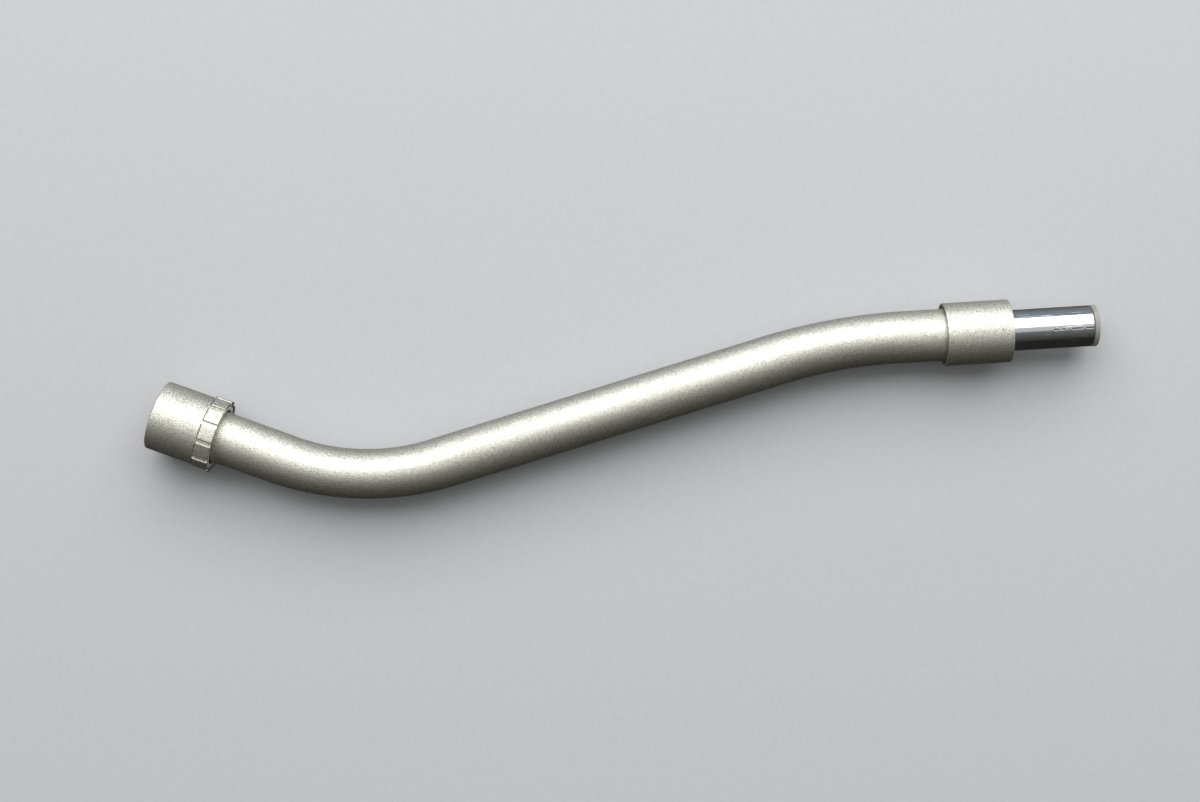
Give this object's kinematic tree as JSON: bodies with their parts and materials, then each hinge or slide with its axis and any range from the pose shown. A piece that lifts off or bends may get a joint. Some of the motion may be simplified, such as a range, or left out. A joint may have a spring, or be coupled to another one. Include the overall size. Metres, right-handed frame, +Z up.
{
  "type": "tonearm tube",
  "caption": "S-shaped turntable tonearm tube with a bayonet headshell socket and notched locking ring at one end and a collar with a polished plug at the other.",
  "frame": {"origin": "under the middle of the bounding box, on the plane that the grip ring touches", "axes": "+X along the headshell socket's axis, from its mouth into the tube; +Z up, square to the plane that the S-bends lie in; the plug's axis is turned 23.2 degrees from +X towards +Y"},
  "size_m": [0.1578, 0.0836, 0.0137],
  "materials": {
    "satin_silver": "bead-blasted satin, warm silver",
    "polished_chrome": "polished chrome plating",
    "socket_plating": "satin nickel plating",
    "spring_steel": "bright spring steel",
    "brass": "turned brass",
    "gold_plate": "gold plating",
    "insulator_black": "moulded black plastic",
    "insulator_white": "translucent off-white plastic",
    "washer_nylon": "natural nylon",
    "wire_red": "insulated lead",
    "wire_white": "insulated lead",
    "wire_green": "insulated lead",
    "wire_blue": "insulated lead",
    "wire_black": "insulated lead"
  },
  "bodies": {
    "arm": {"arm_tube": "satin_silver", "rear_collar": "satin_silver", "socket_body": "socket_plating", "plug_sleeve": "polished_chrome", "wave_washer": "spring_steel", "retaining_ring": "spring_steel", "front_insulator": "insulator_black", "rear_insulator": "insulator_white", "collar_screw": "spring_steel", "key_pin": "spring_steel", "ground_tag": "brass", "ground_wire": "wire_black", "contact_spring_1": "spring_steel", "contact_spring_2": "spring_steel", "contact_spring_3": "spring_steel", "contact_spring_4": "spring_steel", "contact_barrel_1": "brass", "contact_barrel_2": "brass", "contact_barrel_3": "brass", "contact_barrel_4": "brass", "rear_contact_1": "gold_plate", "rear_contact_2": "gold_plate", "rear_contact_3": "gold_plate", "rear_contact_4": "gold_plate", "rear_contact_5": "gold_plate", "signal_wire_red": "wire_red", "signal_wire_white": "wire_white", "signal_wire_green": "wire_green", "signal_wire_blue": "wire_blue"},
    "sleeve": {"locking_sleeve": "satin_silver", "dust_washer": "washer_nylon"},
    "contact_1": {"contact_pin_1": "gold_plate"},
    "contact_2": {"contact_pin_2": "gold_plate"},
    "contact_3": {"contact_pin_3": "gold_plate"},
    "contact_4": {"contact_pin_4": "gold_plate"}
  },
  "joints": [
    {"name": "sleeve_turn", "type": "hinge", "parent": "arm", "child": "sleeve", "pos_m": [-0.07886, -0.03496, 0.00688], "axis": [1, 0, 0], "range_deg": [0, 75]},
    {"name": "contact_press_1", "type": "slide", "parent": "arm", "child": "contact_1", "axis": [1, 0, 0], "range_m": [0, 0.0007], "stiffness_N_per_m": 250, "deforming": ["contact_spring_1"]},
    {"name": "contact_press_2", "type": "slide", "parent": "arm", "child": "contact_2", "axis": [1, 0, 0], "range_m": [0, 0.0007], "stiffness_N_per_m": 250, "deforming": ["contact_spring_2"]},
    {"name": "contact_press_3", "type": "slide", "parent": "arm", "child": "contact_3", "axis": [1, 0, 0], "range_m": [0, 0.0007], "stiffness_N_per_m": 250, "deforming": ["contact_spring_3"]},
    {"name": "contact_press_4", "type": "slide", "parent": "arm", "child": "contact_4", "axis": [1, 0, 0], "range_m": [0, 0.0007], "stiffness_N_per_m": 250, "deforming": ["contact_spring_4"]}
  ]
}
